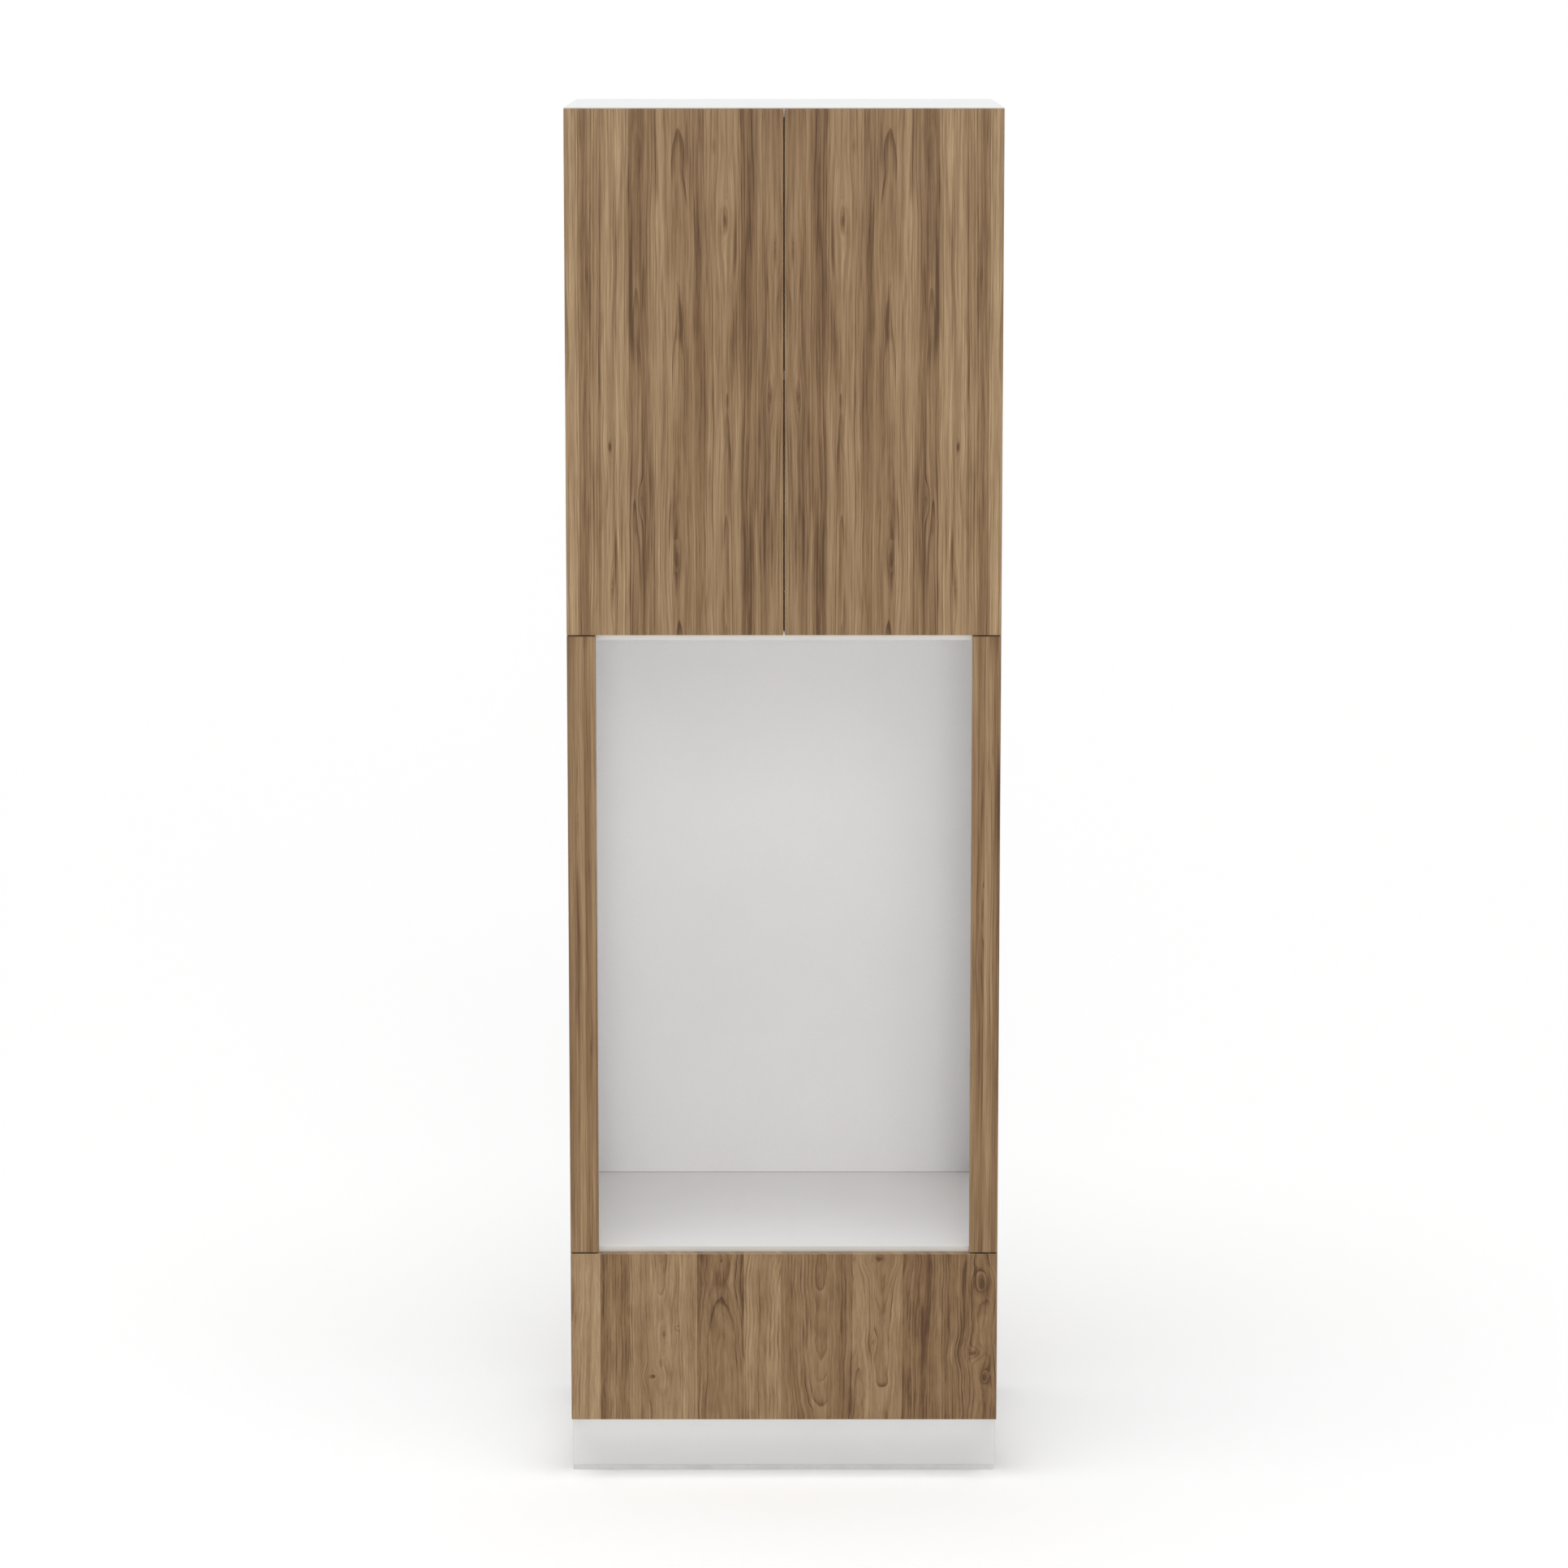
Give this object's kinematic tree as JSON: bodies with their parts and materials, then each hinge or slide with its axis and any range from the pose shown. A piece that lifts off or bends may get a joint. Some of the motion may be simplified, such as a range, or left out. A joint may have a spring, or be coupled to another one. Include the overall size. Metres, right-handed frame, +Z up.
{
  "type": "tall oven cabinet",
  "caption": "Tall kitchen storage cabinet in walnut-pattern decor: handleless hinged doors above an open oven niche, a deep drawer below, white carcass, recessed white plinth.",
  "frame": {"origin": "centre of the overall box at floor level", "axes": "+Z up, +X to the right seen from the front, the doors and drawer open towards -Y; metres"},
  "size_m": [0.7, 0.58, 2.24],
  "materials": {
    "front_decor": "matt walnut-pattern decor on board",
    "board_white": "satin white melamine on chipboard",
    "back_white": "satin white foil on hardboard",
    "dowel_beech": "fluted plain beech",
    "zinc_cast": "cast zinc, satin",
    "nickel_steel": "nickel-plated steel",
    "screw_steel": "zinc-plated steel",
    "runner_steel": "zinc-plated rolled steel",
    "ball_steel": "polished steel",
    "latch_grey": "fine-textured grey plastic",
    "bumper_clear": "clear soft plastic",
    "seal_grey": "light grey soft plastic lip",
    "leg_black": "black moulded plastic"
  },
  "bodies": {
    "carcass": {"side_panel_left": "board_white", "side_panel_right": "board_white", "top_panel": "board_white", "bottom_panel": "board_white", "niche_floor_panel": "board_white", "niche_ceiling_panel": "board_white", "back_panel_upper": "back_white", "back_panel_lower": "back_white", "back_rail_top": "board_white", "back_rail_bottom": "board_white", "adjustable_shelf": "board_white", "shelf_pins": "nickel_steel", "cam_locks": "zinc_cast", "cam_bolts": "screw_steel", "wood_dowels": "dowel_beech", "hinge_plates": "zinc_cast", "hinge_arms": "nickel_steel", "hinge_arm_screws": "screw_steel", "filler_strip_left": "front_decor", "filler_strip_right": "front_decor", "filler_batten_left": "board_white", "filler_batten_right": "board_white", "runner_outer_rails": "runner_steel", "latch_housings": "latch_grey", "plinth_board": "board_white", "plinth_seal": "seal_grey", "leg_sockets": "leg_black", "plinth_clips": "leg_black", "system_screws": "screw_steel", "chipboard_screws": "screw_steel"},
    "door_left": {"door_left": "front_decor", "hinge_cups_left": "nickel_steel", "hinge_cup_screws_left": "screw_steel", "door_bumper_left": "bumper_clear"},
    "door_right": {"door_right": "front_decor", "hinge_cups_right": "nickel_steel", "hinge_cup_screws_right": "screw_steel", "door_bumper_right": "bumper_clear"},
    "drawer": {"drawer_front": "front_decor", "drawer_subfront": "board_white", "drawer_back": "board_white", "drawer_side_left": "board_white", "drawer_side_right": "board_white", "drawer_bottom": "back_white", "drawer_screws": "screw_steel", "drawer_bumpers": "bumper_clear", "runner_inner_rails": "runner_steel"},
    "runner_middle": {"runner_middle_rails": "runner_steel"},
    "runner_cage_outer": {"runner_outer_cages": "runner_steel", "runner_outer_balls": "ball_steel"},
    "runner_cage_inner": {"runner_inner_cages": "runner_steel", "runner_inner_balls": "ball_steel"},
    "latch_left": {"latch_plunger_left": "latch_grey"},
    "latch_right": {"latch_plunger_right": "latch_grey"},
    "drawer_latches": {"drawer_latch_plungers": "latch_grey"},
    "foot_front_left": {"foot_front_left": "leg_black"},
    "foot_front_right": {"foot_front_right": "leg_black"},
    "foot_rear_left": {"foot_rear_left": "leg_black"},
    "foot_rear_right": {"foot_rear_right": "leg_black"}
  },
  "joints": [
    {"name": "door_left_swing", "type": "hinge", "parent": "carcass", "child": "door_left", "pos_m": [-0.343, -0.283, 1.8195], "axis": [0, 0, -1], "range_deg": [0, 110]},
    {"name": "door_right_swing", "type": "hinge", "parent": "carcass", "child": "door_right", "pos_m": [0.343, -0.283, 1.8195], "axis": [0, 0, 1], "range_deg": [0, 110]},
    {"name": "drawer_slide", "type": "slide", "parent": "carcass", "child": "drawer", "axis": [0, -1, 0], "range_m": [0, 0.45]},
    {"name": "runner_middle_slide", "type": "slide", "parent": "carcass", "child": "runner_middle", "axis": [0, -1, 0], "range_m": [0, 0.2255]},
    {"name": "runner_cage_outer_slide", "type": "slide", "parent": "carcass", "child": "runner_cage_outer", "axis": [0, -1, 0], "range_m": [0, 0.113]},
    {"name": "runner_cage_inner_slide", "type": "slide", "parent": "carcass", "child": "runner_cage_inner", "axis": [0, -1, 0], "range_m": [0, 0.338]},
    {"name": "latch_left_slide", "type": "slide", "parent": "carcass", "child": "latch_left", "axis": [0, -1, 0], "range_m": [0, 0.0142]},
    {"name": "latch_right_slide", "type": "slide", "parent": "carcass", "child": "latch_right", "axis": [0, -1, 0], "range_m": [0, 0.0142]},
    {"name": "drawer_latch_slide", "type": "slide", "parent": "carcass", "child": "drawer_latches", "axis": [0, -1, 0], "range_m": [0, 0.0142]},
    {"name": "foot_front_left_height", "type": "slide", "parent": "carcass", "child": "foot_front_left", "axis": [0, 0, -1], "range_m": [0, 0.02]},
    {"name": "foot_front_right_height", "type": "slide", "parent": "carcass", "child": "foot_front_right", "axis": [0, 0, -1], "range_m": [0, 0.02]},
    {"name": "foot_rear_left_height", "type": "slide", "parent": "carcass", "child": "foot_rear_left", "axis": [0, 0, -1], "range_m": [0, 0.02]},
    {"name": "foot_rear_right_height", "type": "slide", "parent": "carcass", "child": "foot_rear_right", "axis": [0, 0, -1], "range_m": [0, 0.02]}
  ],
  "couplings": [
    {"joint": "runner_middle_slide", "follows": "drawer_slide", "ratio": 0.5},
    {"joint": "runner_cage_outer_slide", "follows": "drawer_slide", "ratio": 0.25},
    {"joint": "runner_cage_inner_slide", "follows": "drawer_slide", "ratio": 0.75},
    {"joint": "drawer_latch_slide", "follows": "drawer_slide", "ratio": 0.0311},
    {"joint": "latch_left_slide", "follows": "door_left_swing", "m_per_rad": 0.0073},
    {"joint": "latch_right_slide", "follows": "door_right_swing", "m_per_rad": 0.0073}
  ]
}
